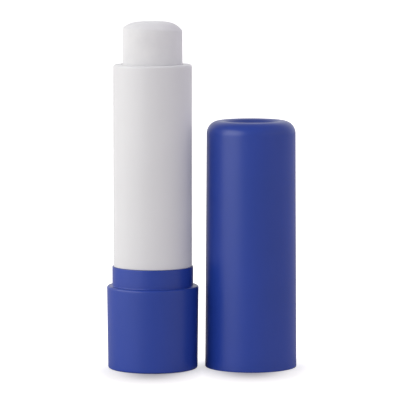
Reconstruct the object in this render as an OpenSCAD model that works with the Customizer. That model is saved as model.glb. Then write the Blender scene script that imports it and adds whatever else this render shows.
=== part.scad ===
// Twist-up lip balm stick, standing open with its cap beside it.
// Radii are stacked outwards from the balm: bore, tube, collar, then cap and base.
// Origin: centre of the base's foot, on the surface it stands on. +Z is up.

/* [Balm] */
// Diameter of the balm
balm_d = 12.5; // [11:0.1:14]
// Length of balm that stands out of the tube
balm_out = 8.9; // [2:0.1:30]
// Height of the crowned top of the balm
crown_h = 1.2; // [0.8:0.1:3]
// Rounding where the balm's side turns into its crown
crown_edge = 1.3; // [0.4:0.1:1.6]
// How far the crown sinks below the rim when the balm is wound down
rim_drop = 0.4; // [0.2:0.1:2]

/* [Tube] */
// Height of the tube above the collar
tube_h = 41.8; // [32:0.1:60]
// Radial gap between the tube's bore and the balm in it
bore_gap = 0.1; // [0.05:0.01:0.15]
// Wall of the neck that turns inside the base
neck_wall = 1.02; // [0.8:0.01:1.4]
// How far the tube's side stands back from the collar's side
tube_inset = 0.25; // [0.05:0.01:0.4]
// Rounding of the tube's rim
rim_round = 0.45; // [0.2:0.05:0.6]
// Width of the two guide ribs along the bore
rib_w = 0.8; // [0.6:0.1:1.4]
// Height of the guide ribs
rib_h = 0.35; // [0.25:0.05:0.5]

/* [Base and collar] */
// Height of the base, from the surface to the shoulder that the cap meets
base_h = 17.2; // [15:0.1:24]
// Height of the collar that grips the cap
collar_h = 4; // [3:0.1:7]
// Wall of the collar
collar_wall = 0.93; // [0.75:0.01:1.4]
// Wall of the base at its foot
base_wall = 1.1; // [0.9:0.05:1.3]
// Thickness of the ledge that joins the base to the collar
ledge_t = 1.4; // [1:0.1:2]
// How much smaller the foot's radius is than the shoulder's
base_draft = 0.22; // [0:0.01:0.3]
// Depth of the bottom plug inside the foot
foot_recess = 0.5; // [0.2:0.1:1.2]
// Thickness of the bottom plug
plug_t = 1.6; // [1.2:0.1:2.5]
// Height of the boss that holds the screw's foot
boss_h = 4; // [3:0.1:6]
// Wall of the boss
boss_wall = 1.1; // [0.8:0.1:1.6]
// Width of the ribs that key the plug inside the base
key_w = 1; // [0.6:0.1:1.6]
// Running gap between the turning tube and the base
turn_gap = 0.08; // [0.05:0.01:0.12]

/* [Cap] */
// Wall of the cap at its mouth
cap_wall = 1; // [0.8:0.05:1.4]
// Radial gap between the cap's bore and the collar
cap_gap = 0.12; // [0.08:0.01:0.25]
// How much smaller the cap's radius is at its top than at its mouth
cap_draft = 0.3; // [0.1:0.01:0.4]
// Rounding of the cap's shoulder
cap_round = 2.6; // [1.5:0.1:3.2]
// Thickness of the cap's top under the dish
cap_top_t = 1.1; // [0.8:0.1:2]
// Diameter of the flat floor of the dish in the cap's top
dish_d = 7.2; // [4:0.1:8]
// Depth of the dish, which rises to the shoulder's highest line in one sweep
dish_depth = 1; // [0.6:0.1:1.6]
// Room between the tube's rim and the cap's ceiling
cap_headroom = 3.35; // [1.5:0.05:6]
// Width of the ribs in the cap's mouth that hold the collar
grip_w = 0.8; // [0.5:0.1:1.4]
// Gap between the base and the cap that stands beside it
stand_gap = 1.35; // [0.5:0.05:20]
// How far behind the stick the cap stands
stand_back = 1.8; // [0:0.1:10]

/* [Screw] */
// Outer diameter of the screw's thread
screw_d = 4.4; // [3.8:0.1:5]
// Depth of the screw's thread
thread_depth = 0.65; // [0.5:0.05:0.8]
// Rise of the balm for one turn
lead = 4; // [3:0.1:5]
// Width of the thread at its root
flight_root = 1.4; // [1:0.1:1.6]
// Width of the thread at its crest
flight_crest = 0.7; // [0.5:0.1:0.9]
// Running gap around the thread
thread_gap = 0.15; // [0.1:0.01:0.2]
// Depth of the screw's tip below the tube's rim
tip_drop = 3.2; // [2.5:0.1:6]
// Distance across the flats of the screw's hexagonal foot
hex_af = 4.6; // [4:0.1:5]
// Thickness of the flange that the tube stands on
flange_t = 1.4; // [1:0.1:2]
// Height of the pilot that centres the tube on the screw
pilot_h = 3.1; // [2.8:0.1:4]
// Wall of the pilot behind the friction ring
pilot_wall = 1; // [0.7:0.1:1.2]
// Thickness of the friction ring
ring_d = 1; // [0.8:0.05:1.1]

/* [Carrier] */
// Height of the cup that holds the balm
cup_h = 6; // [4:0.1:9]
// Wall of the cup
cup_wall = 0.75; // [0.6:0.05:1]
// Thickness of the cup's floor
cup_floor = 1; // [0.8:0.1:1.6]
// Height of the fins that anchor the balm
fin_h = 2.4; // [1.5:0.1:2.9]
// Thickness of the fins
fin_t = 0.7; // [0.5:0.05:1.2]
// Height of the threaded hub
hub_h = 7.5; // [7:0.1:11]
// Wall of the threaded hub
hub_wall = 0.9; // [0.7:0.05:1.1]

/* [Hidden] */
$fn = 96;

// Small sizes that the mouldings share
press_gap = 0.02;    // between pieces that are pressed or cast together
edge = 0.4;          // rounded outer edges
lip = 0.2;           // chamfers, snap beads and thin rounded edges
over = 1;            // how far a cutting shape reaches past what it cuts
start_gap = 0.3;     // under the carrier when it is wound right down
key_gap = 0.4;       // between the keying ribs and the tube's neck
socket_depth = 0.6;  // how far the screw's foot sinks into the plug
ceiling_round = 1.2; // inner corner of the cap's top
gate_r = 0.6;        // moulding gate marks
gate_h = 0.12;
grip_count = 8;
key_count = 6;
arc_steps = 8;       // steps in a quarter of a rounded edge

// Radii, from the inside outwards
balm_r = balm_d / 2;
bore_r = balm_r + bore_gap;
neck_r = bore_r + neck_wall;
collar_in_r = neck_r + turn_gap;
collar_r = collar_in_r + collar_wall;
tube_r = collar_r - tube_inset;
cap_bore_r = collar_r + cap_gap;
cap_r = cap_bore_r + cap_wall;
base_r = cap_r;
foot_r = base_r - base_draft;
base_in_r = foot_r - base_wall;
key_r = neck_r + key_gap;

// Heights, from the surface upwards
plug_top = foot_recess + plug_t;
snap_z = foot_recess + plug_t / 2;
flange_z = plug_top + boss_h + press_gap;
seat_z = flange_z + flange_t;
tube_z = seat_z + turn_gap;
pilot_top = tube_z + pilot_h;
bead_z = pilot_top - 3 * lip;
collar_top = base_h + collar_h;
step_z = collar_top + turn_gap;
tube_top = collar_top + tube_h;

// The balm stands out by the height that its carrier has been lifted, less the rim drop
lift = balm_out + rim_drop;
carrier_z = pilot_top + start_gap + lift;
balm_top = tube_top + balm_out;

// Cap
cap_ceiling = collar_h + tube_h + cap_headroom;
dish_floor = cap_ceiling + cap_top_t;
cap_len = dish_floor + dish_depth;
cap_top_r = cap_r - cap_draft;
mouth_h = collar_h + 2 * lip;
cap_x = 2 * base_r + stand_gap;
cap_y = stand_back;

// Screw, friction ring and hub
crest_r = screw_d / 2;
root_r = crest_r - thread_depth;
hex_r = hex_af / 2 / cos(30);
boss_r = hex_r + boss_wall;
thread_z = flange_z + flight_root;
screw_top = tube_top - tip_drop;
hub_bore_r = crest_r + thread_gap;
hub_r = hub_bore_r + hub_wall;
ring_x = bore_r - press_gap - ring_d / 2;
ring_z = tube_z + ring_d;
groove_r = ring_x - ring_d / 2 - press_gap;
turn_steps = 18;
ridge_turns = 2 / 3;
ridge_z = carrier_z + (hub_h - ridge_turns * lead) / 2;
// The screw is turned so that its groove meets the hub's ridge at the carrier's height
screw_phase = 360 * (thread_z + lead / 2 - ridge_z) / lead;

// Points of an arc in the profile plane, round [x, z]
function on_arc(x, z, r, from, to, steps = arc_steps) =
    [for (i = [0 : steps]) let (a = from + (to - from) * i / steps) [x + r * cos(a), z + r * sin(a)]];

// The same arc without its first point, where it goes on from the point before it
function arc_on(x, z, r, from, to, steps = arc_steps) =
    on_arc(x, z, r, from + (to - from) / steps, to, steps - 1);

// A profile of [radius, height] points, repeated along a helix
function helix_points(profile, steps) =
    [for (i = [0 : steps]) for (p = profile)
        let (a = 360 * i / turn_steps)
        [p[0] * cos(a), p[0] * sin(a), p[1] + lead * i / turn_steps]];

function triangles(faces) = [for (f = faces) for (t = [1 : len(f) - 2]) [f[0], f[t], f[t + 1]]];

// Repeats a rib or a cut evenly round the axis
module around(count) {
    for (i = [0 : count - 1])
        rotate([0, 0, 360 * i / count]) children();
}

// A threaded shaft as one closed surface. Each turn's flight is joined to the next by the core.
module threaded_shaft(height) {
    turns = ceil(height / lead) + 2;
    steps = turns * turn_steps;
    last = steps - turn_steps;
    profile = [
        [root_r, -flight_root / 2],
        [crest_r, -flight_crest / 2],
        [crest_r, flight_crest / 2],
        [root_r, flight_root / 2],
    ];
    low = (steps + 1) * 4;
    high = low + 1;
    ends = [[0, 0, -flight_root / 2], [0, 0, lead * turns + flight_root / 2]];
    flight = [for (i = [0 : steps - 1]) for (k = [0 : 2])
        [4 * i + k, 4 * i + k + 1, 4 * i + k + 5, 4 * i + k + 4]];
    core = [for (i = [0 : last - 1])
        [4 * i + 3, 4 * (i + turn_steps), 4 * (i + turn_steps + 1), 4 * i + 7]];
    bottom = concat(
        [for (i = [0 : turn_steps - 1]) [low, 4 * i, 4 * i + 4]],
        [[low, 4 * turn_steps, 3], [low, 3, 2], [low, 2, 1], [low, 1, 0]]
    );
    top = concat(
        [for (i = [last : steps - 1]) [high, 4 * i + 7, 4 * i + 3]],
        [[high, 4 * last + 3, 4 * steps]],
        [for (k = [0 : 2]) [high, 4 * steps + k, 4 * steps + k + 1]]
    );
    polyhedron(
        concat(helix_points(profile, steps), ends),
        triangles(concat(flight, core, bottom, top))
    );
}

// The hub's inner thread: a helical ridge that fills the screw's groove, less the running gap
module hub_ridge() {
    steps = round(ridge_turns * turn_steps);
    end = 4 * steps;
    groove_w = lead - flight_root - 2 * thread_gap;
    slope = (flight_root - flight_crest) / thread_depth;
    tip_r = root_r + thread_gap;
    buried_r = hub_bore_r + hub_wall / 2;
    tip_w = groove_w + slope * thread_gap;
    buried_w = groove_w + slope * (hub_bore_r - root_r);
    profile = [
        [tip_r, -tip_w / 2],
        [buried_r, -buried_w / 2],
        [buried_r, buried_w / 2],
        [tip_r, tip_w / 2],
    ];
    sides = [for (i = [0 : steps - 1]) for (k = [0 : 3])
        [4 * i + k, 4 * i + (k + 1) % 4, 4 * i + 4 + (k + 1) % 4, 4 * i + 4 + k]];
    polyhedron(
        helix_points(profile, steps),
        triangles(concat(sides, [[3, 2, 1, 0], [end, end + 1, end + 2, end + 3]]))
    );
}

// Flutes that let a piece pass the bore's guide ribs
module rib_flutes(from, to) {
    around(2)
        translate([bore_r - rib_h - turn_gap, -rib_w / 2 - turn_gap, from])
            cube([rib_h + over, rib_w + 2 * turn_gap, to - from]);
}

module cap() {
    // The dish falls from the shoulder's highest line to its floor in two equal arcs
    top_r = cap_top_r - cap_round;
    fall = top_r - dish_d / 2;
    sweep_r = (pow(fall, 2) + pow(dish_depth, 2)) / (4 * dish_depth);
    sweep = 2 * atan2(dish_depth, fall);
    ceiling_r = cap_top_r - cap_wall;
    color("royalblue")
    translate([cap_x, cap_y, 0]) {
        difference() {
            rotate_extrude()
                polygon(concat(
                    [[0, 0]],
                    on_arc(cap_r - lip, lip, lip, -90, 0, 3),
                    on_arc(top_r, cap_len - cap_round, cap_round, 0, 90, 12),
                    arc_on(top_r, cap_len - sweep_r, sweep_r, 90, 90 + sweep),
                    arc_on(dish_d / 2, dish_floor + sweep_r, sweep_r, sweep - 90, -90),
                    [[0, dish_floor]]
                ));
            // Bore: straight in the mouth, then drawn in as far as the ceiling
            rotate_extrude()
                polygon(concat(
                    [[0, -over], [cap_bore_r + lip, -over], [cap_bore_r + lip, 0]],
                    [[cap_bore_r, lip], [cap_bore_r, mouth_h]],
                    on_arc(ceiling_r - ceiling_round, cap_ceiling - ceiling_round, ceiling_round, 0, 90, 6),
                    [[0, cap_ceiling]]
                ));
        }
        // Grip ribs, which stand just clear of the collar
        around(grip_count)
            translate([collar_r + press_gap, -grip_w / 2, 2 * lip])
                cube([cap_gap + cap_wall / 2, grip_w, collar_h - 2 * lip]);
        translate([0, 0, dish_floor - lip])
            cylinder(h = lip + gate_h, r = gate_r);
    }
}

module base_sleeve() {
    ledge_z = base_h - ledge_t;
    color("royalblue") {
        rotate_extrude()
            polygon(concat(
                on_arc(foot_r - edge, edge, edge, -90, 0, 5),
                on_arc(base_r - edge, base_h - edge, edge, 0, 90, 5),
                [[collar_r, base_h], [collar_r, collar_top - lip / 2], [collar_r - lip / 2, collar_top]],
                [[collar_in_r, collar_top], [collar_in_r, ledge_z], [base_in_r, ledge_z]],
                [[base_in_r, snap_z + 2 * lip], [base_in_r + lip, snap_z + lip]],
                [[base_in_r + lip, snap_z - lip], [base_in_r, snap_z - 2 * lip]],
                [[base_in_r, lip], [base_in_r + lip, 0]]
            ));
        // Ribs under the ledge, which key the plug and stiffen the sleeve
        around(key_count)
            translate([key_r, -key_w / 2, foot_recess])
                cube([base_in_r - key_r + base_wall / 2, key_w, ledge_z - foot_recess + ledge_t / 2]);
    }
}

module base_plug() {
    plug_r = base_in_r - press_gap;
    color("mediumblue")
    difference() {
        union() {
            rotate_extrude()
                polygon([
                    [0, foot_recess],
                    [plug_r - lip, foot_recess],
                    [plug_r, foot_recess + lip],
                    [plug_r, snap_z - 2 * lip + press_gap],
                    [plug_r + lip, snap_z - lip + press_gap],
                    [plug_r + lip, snap_z + lip - press_gap],
                    [plug_r, snap_z + 2 * lip - press_gap],
                    [plug_r, plug_top - lip],
                    [plug_r - lip, plug_top],
                    [boss_r, plug_top],
                    [boss_r, plug_top + boss_h - lip],
                    [boss_r - lip, plug_top + boss_h],
                    [0, plug_top + boss_h],
                ]);
            translate([0, 0, foot_recess - gate_h])
                cylinder(h = gate_h + lip, r = gate_r);
        }
        // Socket for the screw's foot
        translate([0, 0, plug_top - socket_depth])
            cylinder(h = socket_depth + boss_h + over, r = hex_r + press_gap, $fn = 6);
        // Notches for the sleeve's keying ribs
        around(key_count)
            translate([key_r - press_gap, -key_w / 2 - press_gap, foot_recess - over])
                cube([base_r, key_w + 2 * press_gap, plug_t + 2 * over]);
    }
}

module screw_spindle() {
    pilot_r = bore_r - turn_gap;
    ring_half = ring_d / 2 + press_gap;
    hollow_r = groove_r - pilot_wall;
    color("whitesmoke") {
        // Hexagonal foot, pressed into the plug's boss
        translate([0, 0, plug_top - socket_depth + press_gap])
            cylinder(h = socket_depth + boss_h + lip, r = hex_r, $fn = 6);
        // Flange, and the pilot with its groove for the friction ring and its snap bead
        rotate_extrude()
            polygon([
                [0, flange_z],
                [neck_r - lip, flange_z],
                [neck_r, flange_z + lip],
                [neck_r, seat_z],
                [pilot_r, seat_z],
                [pilot_r, ring_z - ring_half],
                [groove_r, ring_z - ring_half],
                [groove_r, ring_z + ring_half],
                [pilot_r, ring_z + ring_half],
                [pilot_r, bead_z - lip],
                [pilot_r + lip, bead_z],
                [pilot_r, bead_z + lip],
                [pilot_r - lip, pilot_top],
                [hollow_r, pilot_top],
                [hollow_r, seat_z],
                [hub_r, seat_z],
                [hub_r, pilot_top],
                [0, pilot_top],
            ]);
        // Thread, from inside the pilot's core up to a flat tip
        difference() {
            translate([0, 0, thread_z])
                rotate([0, 0, screw_phase])
                    threaded_shaft(screw_top - thread_z);
            translate([-screw_d, -screw_d, screw_top])
                cube([2 * screw_d, 2 * screw_d, 4 * lead]);
        }
    }
}

// Rubber ring in the pilot's groove, which rubs on the tube's bore and gives the twist its drag
module friction_ring() {
    color("dimgray")
    rotate_extrude()
        translate([ring_x, ring_z])
            circle(d = ring_d);
}

module tube() {
    rib_z = pilot_top + lip;
    color("white") {
        rotate_extrude()
            polygon(concat(
                [[bore_r + lip, tube_z], [neck_r - lip, tube_z], [neck_r, tube_z + lip], [neck_r, step_z]],
                [[tube_r - lip, step_z], [tube_r, step_z + lip]],
                on_arc(tube_r - rim_round, tube_top - rim_round, rim_round, 0, 90, 6),
                on_arc(bore_r + lip, tube_top - lip, lip, 90, 180, 3),
                [[bore_r, bead_z + 2 * lip], [bore_r + lip, bead_z + lip]],
                [[bore_r + lip, bead_z - lip], [bore_r, bead_z - 2 * lip], [bore_r, tube_z + lip]]
            ));
        // Guide ribs, which keep the carrier from turning in the bore
        around(2)
            translate([bore_r - rib_h, -rib_w / 2, rib_z])
                cube([rib_h + neck_wall / 2, rib_w, tube_top - rib_z - 2 * rim_round]);
    }
}

// Two fins across the cup, crossing at the hub
module cup_fins(gap) {
    for (turn = [45, 135])
        rotate([0, 0, turn])
            translate([cup_wall / 2 - balm_r, -fin_t / 2 - gap, carrier_z + cup_floor / 2])
                cube([balm_d - cup_wall, fin_t + 2 * gap, cup_floor / 2 + fin_h + gap]);
}

module carrier() {
    floor_top = carrier_z + cup_floor;
    color("whitesmoke")
    difference() {
        union() {
            rotate_extrude()
                polygon([
                    [0, carrier_z],
                    [balm_r - lip, carrier_z],
                    [balm_r, carrier_z + lip],
                    [balm_r, carrier_z + cup_h],
                    [balm_r - cup_wall, carrier_z + cup_h],
                    [balm_r - cup_wall, floor_top],
                    [hub_r, floor_top],
                    [hub_r, carrier_z + hub_h - lip],
                    [hub_r - lip, carrier_z + hub_h],
                    [0, carrier_z + hub_h],
                ]);
            cup_fins(0);
        }
        difference() {
            translate([0, 0, carrier_z - over])
                cylinder(h = hub_h + 2 * over, r = hub_bore_r);
            translate([0, 0, ridge_z])
                hub_ridge();
        }
        rib_flutes(carrier_z - over, carrier_z + cup_h + over);
    }
}

module balm() {
    bottom = carrier_z + cup_floor + press_gap;
    cup_top = carrier_z + cup_h + press_gap;
    cup_r = balm_r - cup_wall - press_gap;
    // The rounded edge touches both the balm's side and its crown
    crown_r = (balm_r * balm_r + crown_h * crown_h) / (2 * crown_h);
    crown_z = balm_top - crown_r;
    edge_x = balm_r - crown_edge;
    edge_z = crown_z + sqrt(pow(crown_r - crown_edge, 2) - pow(edge_x, 2));
    meet = atan2(edge_z - crown_z, edge_x);
    color("ivory")
    difference() {
        rotate_extrude()
            polygon(concat(
                [[0, bottom], [cup_r, bottom], [cup_r, cup_top], [balm_r, cup_top]],
                on_arc(edge_x, edge_z, crown_edge, 0, meet, 6),
                arc_on(0, crown_z, crown_r, meet, 90)
            ));
        // Cast round the hub and the fins, and round the screw as far as its tip reaches
        translate([0, 0, bottom - over])
            cylinder(h = carrier_z + hub_h + press_gap - bottom + over, r = hub_r + press_gap);
        cup_fins(press_gap);
        translate([0, 0, bottom])
            cylinder(h = screw_top + lift + rim_drop - bottom, r = hub_bore_r);
        rib_flutes(carrier_z, balm_top + over);
    }
}

cap();
base_sleeve();
base_plug();
screw_spindle();
friction_ring();
tube();
carrier();
balm();
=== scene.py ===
"""A twist-up lip balm stick standing open beside its cap, in a plain white studio."""

import math

import bmesh
import bpy
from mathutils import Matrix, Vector, noise

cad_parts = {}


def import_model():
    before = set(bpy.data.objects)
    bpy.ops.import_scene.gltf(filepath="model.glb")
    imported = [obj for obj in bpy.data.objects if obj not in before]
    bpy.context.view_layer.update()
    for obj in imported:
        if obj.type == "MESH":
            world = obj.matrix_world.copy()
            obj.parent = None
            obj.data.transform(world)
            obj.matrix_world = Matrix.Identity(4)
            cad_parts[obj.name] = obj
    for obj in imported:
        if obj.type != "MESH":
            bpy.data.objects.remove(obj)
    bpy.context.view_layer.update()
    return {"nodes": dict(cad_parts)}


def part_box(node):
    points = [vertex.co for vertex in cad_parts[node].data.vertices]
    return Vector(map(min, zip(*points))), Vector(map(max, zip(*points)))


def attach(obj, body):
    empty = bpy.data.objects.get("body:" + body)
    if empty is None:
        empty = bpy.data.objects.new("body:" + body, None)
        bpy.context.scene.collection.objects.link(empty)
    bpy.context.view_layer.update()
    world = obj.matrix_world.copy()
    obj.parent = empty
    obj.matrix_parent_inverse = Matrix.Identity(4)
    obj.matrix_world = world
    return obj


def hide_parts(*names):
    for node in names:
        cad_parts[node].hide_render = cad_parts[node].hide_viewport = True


MM = 0.001

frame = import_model()

# Sizes that the frame's boxes don't give, in metres
BASE_HEIGHT = 17.2 * MM        # from the foot to the shoulder
COLLAR_RADIUS = 8.38 * MM
COLLAR_BORE = 7.45 * MM
FOOT_RADIUS = 9.28 * MM
LEDGE = 1.4 * MM               # the base's ledge under the collar
BASE_BORE = 8.18 * MM
PLUG_FACE = 0.5 * MM           # height of the plug's underside
PLUG_TOP = 2.1 * MM
BOSS_RADIUS = 3.7 * MM         # of the plug's boss, which holds the screw
SOCKET_RADIUS = 2.6 * MM       # of the hole in the boss
SOCKET_DEPTH = 0.6 * MM        # how far the hole sinks into the plug
NECK_RADIUS = 7.37 * MM        # of the tube, inside the base
BORE_RADIUS = 6.35 * MM        # of the tube
STEP_HEIGHT = 21.24 * MM       # where the tube widens above the collar
RIB_WIDTH = 0.8 * MM           # guide ribs in the tube
RIB_HEIGHT = 0.35 * MM
RIB_START = 3.3 * MM           # above the tube's lower end
CAP_TOP_RADIUS = 9.2 * MM
CAP_BORE = 8.5 * MM
CAP_MOUTH = 4.4 * MM           # height of the straight part of the cap's bore
CAP_WALL = 1.0 * MM
CAP_SHOULDER = 2.6 * MM
CAP_TOP_WALL = 1.1 * MM
DISH_FLOOR_RADIUS = 3.6 * MM
DISH_DEPTH = 1.0 * MM
GRIP_COUNT = 8                 # ribs in the cap's mouth that hold the collar
GRIP_WIDTH = 0.8 * MM
GRIP_HEIGHT = 0.1 * MM
GATE_TIP = 0.56 * MM           # radius of a moulding gate's mark at its end
GATE_FOOT = 0.62 * MM          # and where it leaves the surface
HUB_RADIUS = 3.25 * MM         # of the carrier, inside the balm
HUB_TOP = 6.5 * MM             # above the balm's underside
SCREW_BORE = 2.35 * MM         # of the balm, round the screw
CUP_RADIUS = 5.48 * MM         # of the balm, inside the carrier's cup
CUP_HEIGHT = 6.02 * MM
BALM_FOOT_RISE = 1.02 * MM     # from the carrier's underside to the balm's
BALM_CROWN = 2.4 * MM          # from the end of the screw's bore to the top
RUNNING_GAP = 0.08 * MM        # between a guide rib and the balm's flute

SEGMENTS = 288
SHARP_ANGLE = math.radians(38)

# The camera, from the photograph's perspective
FRAME_PIXELS = 400
FOCAL_PIXELS = 3174.34
CAMERA_PLACE = (9.78 * MM, -652.8 * MM, 99.65 * MM)
CAMERA_PITCH = 5.6625          # degrees below level


def box_of(node):
    """Centre, radius, lowest and highest point of an upright round node."""
    low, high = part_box(node)
    centre = ((low[0] + high[0]) / 2, (low[1] + high[1]) / 2)
    return centre, (high[0] - low[0]) / 2, low[2], high[2]


def arc(x, z, radius, start, end, steps=8):
    """Points of an arc round (x, z) in the profile plane, with angles in degrees."""
    turns = [math.radians(start + (end - start) * i / steps) for i in range(steps + 1)]
    return [(x + radius * math.cos(a), z + radius * math.sin(a)) for a in turns]


def rise(start, end, steps, radius_at):
    """Points up or down a nearly straight wall whose radius is a function of its height."""
    heights = [start + (end - start) * i / steps for i in range(steps + 1)]
    return [(radius_at(z), z) for z in heights]


def spun(name, profile_at, centre=(0.0, 0.0)):
    """A closed mesh spun round a vertical axis. profile_at(angle) gives its (radius, height) points."""
    bm = bmesh.new()
    first = profile_at(0.0)
    on_axis = [abs(point[0]) < 1e-9 for point in first]
    rows = [[] for _ in first]
    for step in range(SEGMENTS):
        angle = 2 * math.pi * step / SEGMENTS
        for row, (r, z) in enumerate(profile_at(angle)):
            if on_axis[row] and step:
                continue
            place = (centre[0] + r * math.cos(angle), centre[1] + r * math.sin(angle), z)
            rows[row].append(bm.verts.new(place))
    for low, high in zip(rows, rows[1:] + rows[:1]):
        if len(low) == 1 and len(high) == 1:
            continue
        for step in range(SEGMENTS):
            after = (step + 1) % SEGMENTS
            corners = [low[step % len(low)], low[after % len(low)],
                       high[after % len(high)], high[step % len(high)]]
            bm.faces.new(dict.fromkeys(corners))
    bmesh.ops.recalc_face_normals(bm, faces=bm.faces)
    for face in bm.faces:
        face.smooth = True
    for edge in bm.edges:
        edge.smooth = edge.calc_face_angle(0.0) < SHARP_ANGLE
    mesh = bpy.data.meshes.new(name)
    bm.to_mesh(mesh)
    bm.free()
    piece = bpy.data.objects.new(name, mesh)
    bpy.context.collection.objects.link(piece)
    return piece


def near_turn(angle, turn, half_width):
    """1 where an angle lies on a rib that runs at one of the evenly spaced turns, else 0."""
    off = (angle + turn / 2) % turn - turn / 2
    return 1.0 if abs(off) <= half_width else 0.0


def dress(piece, material, body, node):
    """Gives a piece its material and body, and hides the CAD node that it stands for."""
    piece.data.materials.append(material)
    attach(piece, body)
    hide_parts(node)


class Nodes:
    """Builds a material's node tree with short calls."""

    def __init__(self, name):
        self.material = bpy.data.materials.new(name)
        self.material.use_nodes = True
        self.tree = self.material.node_tree
        self.shader = self.tree.nodes["Principled BSDF"]
        self.place = self.add("ShaderNodeTexCoord").outputs["Object"]

    @classmethod
    def of(cls, tree):
        """The same calls for a tree that has no material, such as the world's."""
        made = cls.__new__(cls)
        made.tree = tree
        return made

    def add(self, kind, **settings):
        made = self.tree.nodes.new(kind)
        for key, value in settings.items():
            setattr(made, key, value)
        return made

    def link(self, source, target):
        self.tree.links.new(source, target)

    def noise(self, scale, detail=2.0, stretch=(1, 1, 1)):
        """A noise value between 0 and 1. scale counts the waves in a metre."""
        mapping = self.add("ShaderNodeMapping")
        mapping.inputs["Scale"].default_value = stretch
        self.link(self.place, mapping.inputs["Vector"])
        texture = self.add("ShaderNodeTexNoise")
        texture.inputs["Scale"].default_value = scale
        texture.inputs["Detail"].default_value = detail
        self.link(mapping.outputs["Vector"], texture.inputs["Vector"])
        return texture.outputs["Fac"]

    def span(self, value, low, high, to_low=0.0, to_high=1.0, smooth=False):
        """Maps low..high of a value to to_low..to_high, held at both ends."""
        node = self.add("ShaderNodeMapRange")
        node.interpolation_type = "SMOOTHSTEP" if smooth else "LINEAR"
        for key, number in zip(("From Min", "From Max", "To Min", "To Max"),
                               (low, high, to_low, to_high)):
            node.inputs[key].default_value = number
        self.link(value, node.inputs["Value"])
        return node.outputs["Result"]

    def math(self, operation, first, second):
        """The result of a Math node. Each value is a number or a socket."""
        node = self.add("ShaderNodeMath", operation=operation)
        for socket, value in zip(node.inputs, (first, second)):
            if isinstance(value, (int, float)):
                socket.default_value = value
            else:
                self.link(value, socket)
        return node.outputs[0]

    def mix(self, factor, first, second):
        """Two colours, mixed by a factor."""
        node = self.add("ShaderNodeMix", data_type="RGBA")
        node.inputs["A"].default_value = (*first, 1)
        node.inputs["B"].default_value = (*second, 1)
        self.link(factor, node.inputs["Factor"])
        return node.outputs["Result"]

    def tint(self, pattern, first, second, low=0.3, high=0.7):
        """Colours the surface between two tones, by a pattern's low..high."""
        colour = self.mix(self.span(pattern, low, high), first, second)
        self.link(colour, self.shader.inputs["Base Color"])

    def roughen(self, pattern, first, second, low=0.3, high=0.7):
        """Varies the roughness between two values, by a pattern's low..high."""
        self.link(self.span(pattern, low, high, first, second), self.shader.inputs["Roughness"])

    def bump(self, *heights):
        """Chains bumps. Each is (height, depth in metres)."""
        last = None
        for height, depth in heights:
            node = self.add("ShaderNodeBump")
            node.inputs["Distance"].default_value = depth
            self.link(height, node.inputs["Height"])
            if last:
                self.link(last, node.inputs["Normal"])
            last = node.outputs["Normal"]
        self.link(last, self.shader.inputs["Normal"])

    def set(self, **values):
        """Sets the shader's sockets, with _ for each space in a name."""
        for key, value in values.items():
            self.shader.inputs[key.replace("_", " ")].default_value = value


def blue_plastic():
    """Satin moulded plastic with a fine eroded grain and faint flow marks."""
    m = Nodes("blue_plastic")
    cloud = m.noise(90, 3)
    flow = m.noise(260, 3, stretch=(1, 1, 0.12))
    grain = m.noise(9000)
    waves = m.noise(700)
    m.tint(cloud, (0.014, 0.046, 0.300), (0.016, 0.049, 0.325))
    m.roughen(flow, 0.32, 0.37, low=0.25, high=0.75)
    m.bump((grain, 0.003 * MM), (waves, 0.003 * MM))
    m.set(Specular_IOR_Level=0.5, IOR=1.5)
    return m.material


def white_plastic():
    """Smooth white moulding, a little translucent."""
    m = Nodes("white_plastic")
    cloud = m.noise(70)
    flow = m.noise(300, 3, stretch=(1, 1, 0.1))
    grain = m.noise(7000)
    waves = m.noise(500)
    m.tint(cloud, (0.765, 0.765, 0.765), (0.785, 0.785, 0.785))
    m.roughen(flow, 0.32, 0.37, low=0.25, high=0.75)
    m.bump((grain, 0.001 * MM), (waves, 0.0015 * MM))
    m.set(Specular_IOR_Level=0.4, IOR=1.5, Diffuse_Roughness=1.0)
    m.set(Subsurface_Weight=0.2, Subsurface_Radius=(1, 1, 1), Subsurface_Scale=0.6 * MM)
    return m.material


def natural_plastic():
    """Unpainted milky moulding of the mechanism."""
    m = Nodes("natural_plastic")
    cloud = m.noise(120, 3)
    mottle = m.noise(900)
    grain = m.noise(6000)
    m.tint(cloud, (0.70, 0.70, 0.67), (0.77, 0.77, 0.75))
    m.roughen(mottle, 0.4, 0.5)
    m.bump((grain, 0.004 * MM))
    m.set(Subsurface_Weight=0.25, Subsurface_Radius=(1, 1, 0.9), Subsurface_Scale=0.8 * MM)
    return m.material


def balm_wax():
    """Cast wax: cloudy, soft in the light, with faint drag lines up its side."""
    m = Nodes("balm_wax")
    cloud = m.noise(350, 4)
    drag = m.noise(2200, stretch=(1, 1, 0.04))
    lumps = m.noise(900, 3)
    m.tint(cloud, (0.77, 0.77, 0.77), (0.81, 0.81, 0.805))
    m.roughen(cloud, 0.30, 0.38)
    m.bump((drag, 0.003 * MM), (lumps, 0.008 * MM))
    m.set(Specular_IOR_Level=0.06, IOR=1.45, Diffuse_Roughness=1.0)
    m.set(Subsurface_Weight=0.2, Subsurface_Radius=(1, 0.97, 0.95), Subsurface_Scale=2.5 * MM)
    return m.material


def ring_rubber():
    """Black rubber with a dusty bloom."""
    m = Nodes("ring_rubber")
    bloom = m.noise(1500, 4)
    grain = m.noise(4000)
    m.tint(bloom, (0.02, 0.02, 0.02), (0.045, 0.045, 0.045), low=0.4)
    m.roughen(bloom, 0.55, 0.75)
    m.bump((grain, 0.01 * MM))
    return m.material


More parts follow.
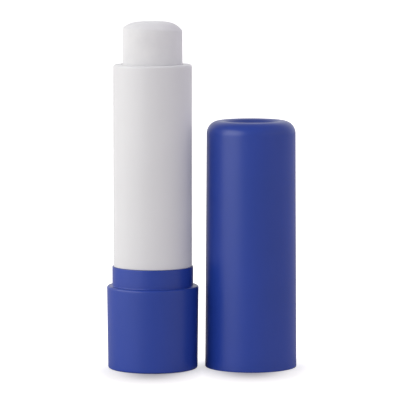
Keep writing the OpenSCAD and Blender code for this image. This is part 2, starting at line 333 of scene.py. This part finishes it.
def make_cap(material):
    """The cap: rounded shoulder, top swept down to a shallow dish, grip ribs in the mouth."""
    centre, radius, low, high = box_of("cap")
    lip = 0.2 * MM
    corner = 1.2 * MM
    gate_height = 0.1 * MM
    gate_crown = 0.12 * MM
    floor_ring = 1.6 * MM       # on the dish's floor, round the gate's mark
    shoulder_r = CAP_TOP_RADIUS - CAP_SHOULDER
    shoulder_z = high - CAP_SHOULDER
    fall = shoulder_r - DISH_FLOOR_RADIUS
    sweep_r = (fall ** 2 + DISH_DEPTH ** 2) / (4 * DISH_DEPTH)
    sweep = math.degrees(2 * math.atan2(DISH_DEPTH, fall))
    floor_z = high - DISH_DEPTH
    ceiling = floor_z - CAP_TOP_WALL
    inner_r = CAP_TOP_RADIUS - CAP_WALL
    grip_half = GRIP_WIDTH / 2 / CAP_BORE

    def outer_r(z):
        return radius + (CAP_TOP_RADIUS - radius) * (z - low) / (shoulder_z - low)

    def inner_wall_r(z):
        share = (z - CAP_MOUTH) / (ceiling - corner - CAP_MOUTH)
        return CAP_BORE + (inner_r - CAP_BORE) * max(share, 0.0)

    def profile(angle):
        grip_r = CAP_BORE - GRIP_HEIGHT * near_turn(angle, 2 * math.pi / GRIP_COUNT, grip_half)
        outside = (
            arc(radius - lip, low + lip, lip, -90, 0, 5)
            + rise(low + 2 * lip, shoulder_z - 2 * lip, 12, outer_r)
            + arc(shoulder_r, shoulder_z, CAP_SHOULDER, 0, 90, 24)
        )
        dish = (
            arc(shoulder_r, high - sweep_r, sweep_r, 90, 90 + sweep, 12)[1:]
            + arc(DISH_FLOOR_RADIUS, floor_z + sweep_r, sweep_r, sweep - 90, -90, 12)[1:]
            + [(floor_ring, floor_z), (GATE_FOOT, floor_z)]
            + [(GATE_TIP, floor_z + gate_height), (0, floor_z + gate_crown)]
        )
        inside = (
            [(0, ceiling)]
            + arc(inner_r - corner, ceiling - corner, corner, 90, 0, 8)
            + rise(ceiling - corner - lip, CAP_MOUTH, 10, inner_wall_r)
            + [(CAP_BORE, CAP_MOUTH - lip), (grip_r, CAP_MOUTH - 2 * lip)]
            + [(grip_r, low + 2 * lip), (CAP_BORE, low + 1.5 * lip)]
            + arc(CAP_BORE + lip, low + lip, lip, 180, 270, 4)
        )
        return outside + dish + inside

    piece = spun("cap_moulding", profile, centre)
    dress(piece, material, "cap", "cap")


def make_base(material):
    """The base with its shoulder, and the collar that rises from it."""
    centre, radius, low, high = box_of("base_sleeve")
    edge = 0.4 * MM
    lip = 0.12 * MM
    ledge = BASE_HEIGHT - LEDGE

    def wall_r(z):
        return FOOT_RADIUS + (radius - FOOT_RADIUS) * (z - low) / (BASE_HEIGHT - low)

    def profile(angle):
        return (
            arc(FOOT_RADIUS - edge, low + edge, edge, -90, 0, 6)
            + rise(low + 2 * edge, BASE_HEIGHT - 2 * edge, 8, wall_r)
            + arc(radius - edge, BASE_HEIGHT - edge, edge, 0, 90, 8)
            + arc(COLLAR_RADIUS + lip, BASE_HEIGHT + lip, lip, 270, 180, 3)
            + rise(BASE_HEIGHT + 2 * lip, high - 2 * lip, 6, lambda z: COLLAR_RADIUS)
            + arc(COLLAR_RADIUS - lip / 2, high - lip / 2, lip / 2, 0, 90, 4)
            + arc(COLLAR_BORE + lip / 2, high - lip / 2, lip / 2, 90, 180, 3)
            + [(COLLAR_BORE, ledge + lip), (COLLAR_BORE + lip, ledge), (BASE_BORE, ledge)]
            + [(BASE_BORE, low + 2 * lip), (BASE_BORE + lip, low)]
        )

    piece = spun("base_moulding", profile, centre)
    dress(piece, material, "base", "base_sleeve")


def make_plug(material):
    """The plug in the foot, with a shallow ring and gate mark below, and a boss inside."""
    centre, radius, low, high = box_of("base_plug")
    lip = 0.2 * MM
    rim = BASE_BORE - 0.02 * MM
    ring = PLUG_FACE + 0.06 * MM
    socket_floor = PLUG_TOP - SOCKET_DEPTH

    def profile(angle):
        return (
            [(0, low), (GATE_TIP, low), (GATE_FOOT, PLUG_FACE), (BOSS_RADIUS, PLUG_FACE)]
            + [(BOSS_RADIUS + lip, ring), (rim - 3 * lip, ring), (rim - 2 * lip, PLUG_FACE)]
            + arc(rim - lip, PLUG_FACE + lip, lip, -90, 0, 4)
            + [(rim, PLUG_TOP - lip), (rim - lip, PLUG_TOP)]
            + [(BOSS_RADIUS, PLUG_TOP), (BOSS_RADIUS, high - lip), (BOSS_RADIUS - lip, high)]
            + [(SOCKET_RADIUS, high), (SOCKET_RADIUS, socket_floor), (0, socket_floor)]
        )

    piece = spun("foot_plug", profile, centre)
    dress(piece, material, "base", "base_plug")


def make_tube(material):
    """The white tube: rounded rim, narrow neck below the collar, two guide ribs in its bore."""
    centre, radius, low, high = box_of("tube")
    rim = 0.45 * MM
    lip = 0.2 * MM
    edge = 0.05 * MM
    rib_half = RIB_WIDTH / 2 / BORE_RADIUS
    rib_end = 0.1 * MM
    rib_top = high - 2 * rim
    rib_low = low + RIB_START

    def profile(angle):
        rib_r = BORE_RADIUS - RIB_HEIGHT * near_turn(angle, math.pi, rib_half)
        return (
            [(BORE_RADIUS + lip, low), (NECK_RADIUS - lip, low), (NECK_RADIUS, low + lip)]
            + [(NECK_RADIUS, STEP_HEIGHT - edge), (NECK_RADIUS + edge, STEP_HEIGHT)]
            + arc(radius - edge, STEP_HEIGHT + edge, edge, -90, 0, 4)
            + rise(STEP_HEIGHT + 2 * rim, high - 2 * rim, 10, lambda z: radius)
            + arc(radius - rim, high - rim, rim, 0, 90, 10)
            + arc(BORE_RADIUS + lip / 2, high - lip / 2, lip / 2, 90, 180, 5)
            + [(BORE_RADIUS, rib_top + rib_end), (rib_r, rib_top)]
            + [(rib_r, rib_low), (BORE_RADIUS, rib_low - rib_end), (BORE_RADIUS, low + lip)]
        )

    piece = spun("tube_moulding", profile, centre)
    dress(piece, material, "tube", "tube")


def sink_wax(piece, above, top):
    """Lets the cast surface above a height sink in by up to some hundredths of a millimetre."""
    crown_r = 3              # the crown inside this radius sinks down instead of in
    crown_depth = 2
    for vertex in piece.data.vertices:
        place = vertex.co / MM
        if place.z <= above / MM:
            continue
        swell = noise.noise(place * 0.45) * 0.02 + noise.noise(place * 1.7) * 0.006
        sink = min(swell, 0.0) * MM
        outward = Vector((place.x, place.y, 0))
        if outward.length > crown_r:
            vertex.co += outward.normalized() * sink
        elif place.z > top / MM - crown_depth:
            vertex.co.z += sink


def make_balm(material):
    """The balm: flat-topped dome leaning to one side, soft edge, flutes from the tube's ribs."""
    centre, radius, low, high = box_of("balm")
    cup_top = low - BALM_FOOT_RISE + CUP_HEIGHT
    hub_top = low + HUB_TOP
    bore_top = high - BALM_CROWN
    top = high - 0.02 * MM
    taper = 0.06 * MM          # drawn in towards the top
    taper_length = 10 * MM
    top_r = radius - taper
    soft = 0.45 * MM           # rounding where the side meets the dome
    flute_half = (RIB_WIDTH / 2 + RUNNING_GAP) / radius
    flute_depth = RIB_HEIGHT + RUNNING_GAP - (BORE_RADIUS - radius)
    dome_rings = 18

    def side_r(z):
        share = max(0.0, (z - (high - taper_length)) / taper_length)
        return radius - taper * share

    def profile(angle):
        # The dome falls with the fourth power of the radius, most on the +X side
        bend = (0.0011 + 0.0002 * math.cos(angle)) / MM ** 3
        edge_r = top_r
        for _ in range(8):
            slope = math.atan(4 * bend * edge_r ** 3)
            edge_r = top_r - soft * (1 - math.sin(slope))
        edge_z = top - bend * edge_r ** 4 - soft * math.cos(slope)
        flute = flute_depth * near_turn(angle, math.pi, flute_half)
        side = (
            [(CUP_RADIUS, cup_top), (radius - flute, cup_top)]
            + rise(cup_top + 0.5 * MM, edge_z - 0.2 * MM, 24, lambda z: side_r(z) - flute)
        )
        corner = arc(top_r - soft, edge_z, soft, 0, 90 - math.degrees(slope), 6)
        shares = [1 - i / dome_rings for i in range(1, dome_rings)]
        dome = [(edge_r * share, top - bend * (edge_r * share) ** 4) for share in shares]
        crown = [(min(r, top_r - flute), z) for r, z in corner + dome] + [(0, top)]
        inside = [(0, bore_top), (SCREW_BORE, bore_top), (SCREW_BORE, hub_top), (HUB_RADIUS, hub_top)]
        return [(HUB_RADIUS, low), (CUP_RADIUS, low)] + side + crown + inside

    piece = spun("balm_stick", profile, centre)
    sink_wax(piece, cup_top, high)
    dress(piece, material, "carrier", "balm")


def finish_nodes(materials):
    """Gives the CAD nodes of the mechanism their materials."""
    for node, material in materials.items():
        mesh = frame["nodes"][node].data
        mesh.materials.clear()
        mesh.materials.append(material)


def away_from(m, *centres, widen=1.0):
    """Distance from the nearest of some points of the floor, with X counted widen times."""
    scaled = m.add("ShaderNodeVectorMath", operation="MULTIPLY")
    scaled.inputs[1].default_value = (widen, 1, 1)
    m.link(m.place, scaled.inputs[0])
    nearest = None
    for centre in centres:
        node = m.add("ShaderNodeVectorMath", operation="DISTANCE")
        node.inputs[1].default_value = (centre[0] * widen, centre[1], 0)
        m.link(scaled.outputs["Vector"], node.inputs[0])
        distance = node.outputs["Value"]
        nearest = m.math("MINIMUM", nearest, distance) if nearest else distance
    return nearest


def ray_kinds(m):
    """Whether a ray comes from the camera, and whether it is mirrored or let through."""
    path = m.add("ShaderNodeLightPath").outputs
    mirrored = m.math("MAXIMUM", path["Is Glossy Ray"], path["Is Transmission Ray"])
    return path["Is Camera Ray"], mirrored


def floor():
    """A pale floor that glows white for the camera, except in a painted shadow in front of each foot,
    where the glow is held back.
    """
    half = 3.0
    corners = [(-half, -half, 0), (half, -half, 0), (half, half, 0), (-half, half, 0)]
    mesh = bpy.data.meshes.new("floor")
    mesh.from_pydata(corners, [], [(0, 1, 2, 3)])
    plane = bpy.data.objects.new("floor", mesh)
    bpy.context.collection.objects.link(plane)
    m = Nodes("floor")
    m.set(Base_Color=(0.67, 0.65, 0.615, 1), Roughness=0.9, Specular_IOR_Level=0.1)
    m.set(Emission_Color=(1, 1, 1, 1))
    forward = 8 * MM           # from a foot's centre to the centre of its painted shadow
    narrow = 1.5               # how much narrower than deep the painted shadow is
    steep = 0.52               # share of the glow that comes back within the first 15 mm of the painted shadow
    # The camera's glow is held back round fixed points just in front of each foot. This is a painted
    # shadow that stays put when a piece moves, and the floor's own shading shows through it.
    painted_shadow_centres = [(x, y - forward) for x, y in (box_of("base_sleeve")[0], box_of("cap")[0])]
    away = away_from(m, *painted_shadow_centres, widen=narrow)
    clear = m.math("ADD", m.span(away, 1 * MM, 15 * MM, 0.0, steep, smooth=True),
                   m.span(away, 14 * MM, 26 * MM, 0.0, 1 - steep))
    distant = m.span(away_from(m, (0.01, 0)), 0.15, 0.5, 0.0, 0.15)
    seen, mirrored = ray_kinds(m)
    glow = m.math("MAXIMUM", m.math("MULTIPLY", clear, seen), m.math("MULTIPLY", distant, mirrored))
    m.link(glow, m.shader.inputs["Emission Strength"])
    mesh.materials.append(m.material)


def lamp(azimuth, elevation, distance, size, power, colour):
    """A soft rectangular lamp aimed at the object. Azimuth 0 is the camera's side, 90 its left."""
    target = Vector((0.01, 0, 0.04))
    a, e = math.radians(azimuth), math.radians(elevation)
    towards = Vector((-math.sin(a) * math.cos(e), -math.cos(a) * math.cos(e), math.sin(e)))
    data = bpy.data.lights.new("key", "AREA")
    data.shape = "RECTANGLE"
    data.size, data.size_y = size
    data.energy = power
    data.color = colour
    made = bpy.data.objects.new("key", data)
    bpy.context.collection.objects.link(made)
    made.location = target + distance * towards
    made.rotation_euler = (target - made.location).to_track_quat("-Z", "Y").to_euler()
    made.visible_camera = False


def world():
    """White for the camera, a backdrop for mirrors, and soft light mostly from the right."""
    made = bpy.data.worlds.new("studio")
    bpy.context.scene.world = made
    made.use_nodes = True
    m = Nodes.of(made.node_tree)
    way = m.add("ShaderNodeSeparateXYZ")
    m.link(m.add("ShaderNodeTexCoord").outputs["Generated"], way.inputs[0])
    from_right = m.span(way.outputs["X"], 0.1, 0.9, 0.32, 1.6)
    from_low = m.span(way.outputs["Z"], 0.2, 1.0, 1.0, 0.6)
    from_behind = m.span(way.outputs["Y"], 0.4, 0.9, 0.5, 1.0)
    seen, mirrored = ray_kinds(m)
    shown = m.math("MAXIMUM", seen, m.math("MULTIPLY", from_behind, mirrored))
    plain = m.math("MAXIMUM", seen, mirrored)
    unseen = m.math("MULTIPLY", m.math("MULTIPLY", from_right, from_low), m.math("SUBTRACT", 1.0, plain))
    background = made.node_tree.nodes["Background"]
    m.link(m.math("ADD", unseen, shown), background.inputs["Strength"])
    m.link(m.mix(plain, (1.0, 0.965, 1.075), (1, 1, 1)), background.inputs["Color"])


def camera():
    """Stands about 0.65 m off and looks down a little, as in the photograph."""
    data = bpy.data.cameras.new("camera")
    data.sensor_width = 36
    data.lens = FOCAL_PIXELS * data.sensor_width / FRAME_PIXELS
    data.clip_start, data.clip_end = 0.01, 20
    made = bpy.data.objects.new("camera", data)
    bpy.context.collection.objects.link(made)
    made.location = CAMERA_PLACE
    made.rotation_euler = (math.radians(90 - CAMERA_PITCH), 0, 0)
    bpy.context.scene.camera = made


def main():
    blue = blue_plastic()
    natural = natural_plastic()
    make_cap(blue)
    make_base(blue)
    make_plug(blue)
    make_tube(white_plastic())
    make_balm(balm_wax())
    finish_nodes({"screw_spindle": natural, "carrier": natural, "friction_ring": ring_rubber()})
    floor()
    world()
    camera()
    lamp(azimuth=67, elevation=21, distance=0.7, size=(1.1, 0.55), power=5.6, colour=(1.0, 1.0, 0.99))
    bpy.context.scene.view_settings.view_transform = "Standard"


main()
